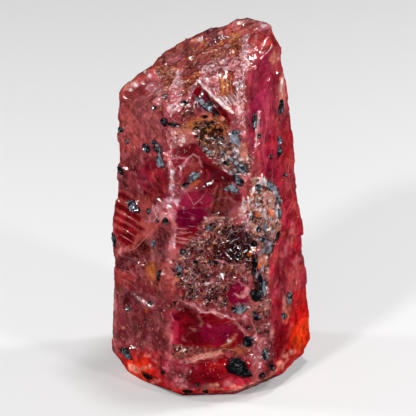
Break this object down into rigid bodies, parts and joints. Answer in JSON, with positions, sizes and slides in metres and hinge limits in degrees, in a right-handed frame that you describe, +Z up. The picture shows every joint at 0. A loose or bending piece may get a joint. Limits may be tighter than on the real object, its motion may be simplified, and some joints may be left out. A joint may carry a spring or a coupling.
{
  "type": "raw ruby crystal",
  "caption": "Rough hexagonal ruby crystal: a tapering prism with a broken slanting top, a chipped base, pits, dark mica flakes and an iron-stained crust.",
  "frame": {"origin": "centre of the bounding box in X and Y, on the flat of the base that the crystal stands on", "axes": "+Z up along the crystal's long axis, -Y out of the face that the picture looks at, +X towards the high side of the slanting top"},
  "size_m": [0.0148, 0.0128, 0.0265],
  "materials": {
    "ruby": "glossy with rough patches",
    "mica": "pearly dark grey",
    "iron_crust": "earthy and rough"
  },
  "bodies": {
    "root": {"ruby_crystal": "ruby"}
  },
  "joints": []
}
